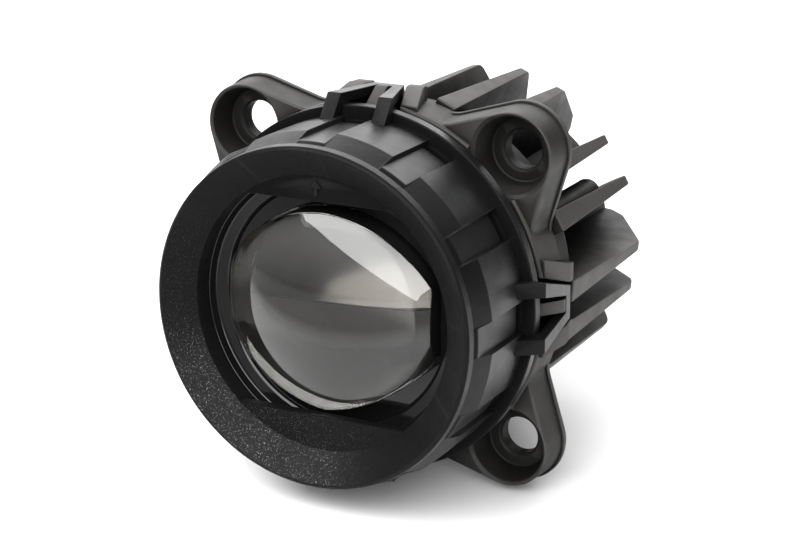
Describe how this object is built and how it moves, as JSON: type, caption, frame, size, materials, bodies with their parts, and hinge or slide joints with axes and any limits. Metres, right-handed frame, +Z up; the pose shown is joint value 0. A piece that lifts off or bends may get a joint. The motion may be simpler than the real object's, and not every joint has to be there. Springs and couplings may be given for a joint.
{
  "type": "fog light",
  "caption": "Round projector fog light: clip-fitted bezel and thick clear lens on a finned die-cast heat sink with mounting ears and a rear plug socket.",
  "frame": {"origin": "on the optical axis, in the plane of the mounting pads on the backs of the four ears", "axes": "+Z up, light shines towards -Y, +X to the right when looking along +Y"},
  "size_m": [0.0868, 0.1, 0.0868],
  "materials": {
    "bezel_plastic": "fine-grained moulded plastic, satin",
    "seal_rubber": "matt rubber",
    "trim_gloss": "glossy black",
    "lens_glass": "clear, polished",
    "holder_plastic": "glass-filled plastic, matt",
    "screw_steel": "zinc plated",
    "shield_metal": "stamped sheet",
    "reflector_mirror": "vacuum metallised",
    "board_white": "white solder mask",
    "emitter_phosphor": "phosphor, matt",
    "thermal_silicone": "soft, matt",
    "board_green": "green solder mask",
    "component_black": "moulded epoxy",
    "contact_tin": "tin plated",
    "coated_aluminium": "black coated die casting, satin",
    "membrane_fabric": "white membrane"
  },
  "bodies": {
    "root": {"front_bezel": "bezel_plastic", "bezel_gasket": "seal_rubber", "inner_trim": "trim_gloss", "projection_lens": "lens_glass", "lens_seal": "seal_rubber", "lens_holder": "holder_plastic", "holder_seal": "seal_rubber", "optic_screws": "screw_steel", "cutoff_shield": "shield_metal", "reflector": "reflector_mirror", "emitter_board": "board_white", "emitters": "emitter_phosphor", "board_screws": "screw_steel", "thermal_pad": "thermal_silicone", "driver_board": "board_green", "driver_components": "component_black", "jumper_leads": "contact_tin", "heat_sink": "coated_aluminium", "heat_sink_fins": "coated_aluminium", "connector_header": "holder_plastic", "connector_pins": "contact_tin", "connector_seal": "seal_rubber", "header_screws": "screw_steel", "breather_vent": "holder_plastic", "vent_membrane": "membrane_fabric"}
  },
  "joints": []
}
